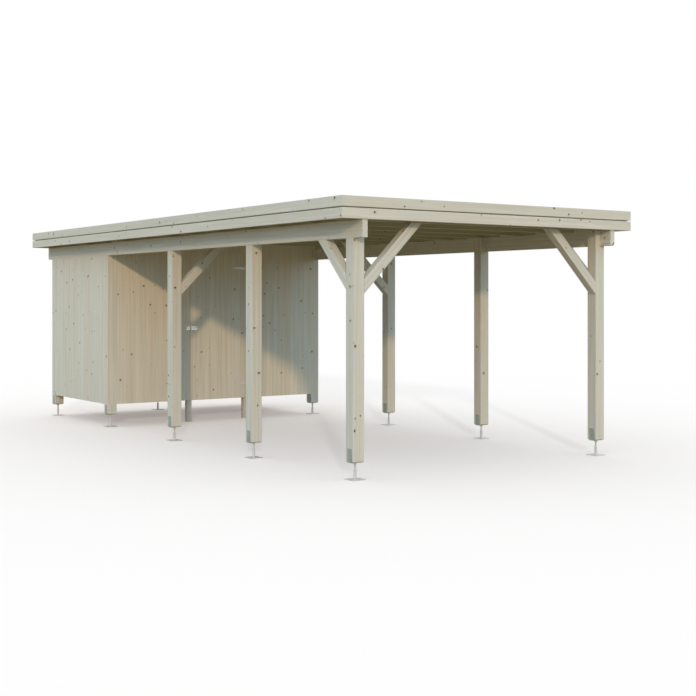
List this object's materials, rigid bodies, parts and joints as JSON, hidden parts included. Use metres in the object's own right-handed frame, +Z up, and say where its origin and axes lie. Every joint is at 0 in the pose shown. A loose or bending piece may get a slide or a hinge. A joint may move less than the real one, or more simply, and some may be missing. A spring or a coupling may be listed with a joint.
{
  "type": "timber carport",
  "caption": "Flat-roofed timber carport on steel post feet, with braced corners, a double fascia and a boarded store room with a hinged door across its far end.",
  "frame": {"origin": "on the ground under the middle of the roof", "axes": "+Z up, +Y from the open front to the store room, +X to the right seen from the front"},
  "size_m": [3.6, 7.672, 2.52],
  "materials": {
    "planed_timber": "pale impregnated planed softwood",
    "wall_boards": "pale impregnated upright boards",
    "roof_boards": "sawn softwood boards in the shade of the roof",
    "roofing_felt": "mineral roofing sheet",
    "galvanised_steel": "hot-dip galvanised"
  },
  "bodies": {
    "carport": {"back_fascia": "planed_timber", "back_middle_foot": "galvanised_steel", "back_middle_post": "planed_timber", "bolt_keep": "galvanised_steel", "front_fascia": "planed_timber", "front_left_cross_brace": "planed_timber", "front_right_cross_brace": "planed_timber", "hinge_hooks": "galvanised_steel", "left_back_post": "planed_timber", "left_beam": "planed_timber", "left_door_post": "planed_timber", "left_fascia": "planed_timber", "left_front_post": "planed_timber", "left_middle_post": "planed_timber", "left_post_feet": "galvanised_steel", "left_second_post": "planed_timber", "left_side_brace": "planed_timber", "left_store_front_post": "planed_timber", "middle_left_cross_brace": "planed_timber", "middle_right_cross_brace": "planed_timber", "rafters": "planed_timber", "right_back_post": "planed_timber", "right_beam": "planed_timber", "right_door_post": "planed_timber", "right_fascia": "planed_timber", "right_front_post": "planed_timber", "right_middle_post": "planed_timber", "right_post_feet": "galvanised_steel", "right_second_post": "planed_timber", "right_side_brace": "planed_timber", "right_store_front_post": "planed_timber", "roof_covering": "roofing_felt", "roof_deck": "roof_boards", "store_back_wall": "wall_boards", "store_front_wall_left": "wall_boards", "store_front_wall_over_door": "wall_boards", "store_front_wall_right": "wall_boards", "store_left_wall": "wall_boards", "store_right_wall": "wall_boards", "wall_rails": "planed_timber"},
    "door": {"door_leaf": "wall_boards", "door_ledges": "planed_timber", "hinge_bands": "galvanised_steel", "bolt_barrel": "galvanised_steel"},
    "bolt": {"bolt_rod": "galvanised_steel"}
  },
  "joints": [
    {"name": "door_hinge", "type": "hinge", "parent": "carport", "child": "door", "pos_m": [0.42, 1.735, 0.285], "axis": [0, 0, 1], "range_deg": [0, 110]},
    {"name": "bolt_slide", "type": "slide", "parent": "door", "child": "bolt", "axis": [-1, 0, 0], "range_m": [0, 0.04]}
  ]
}
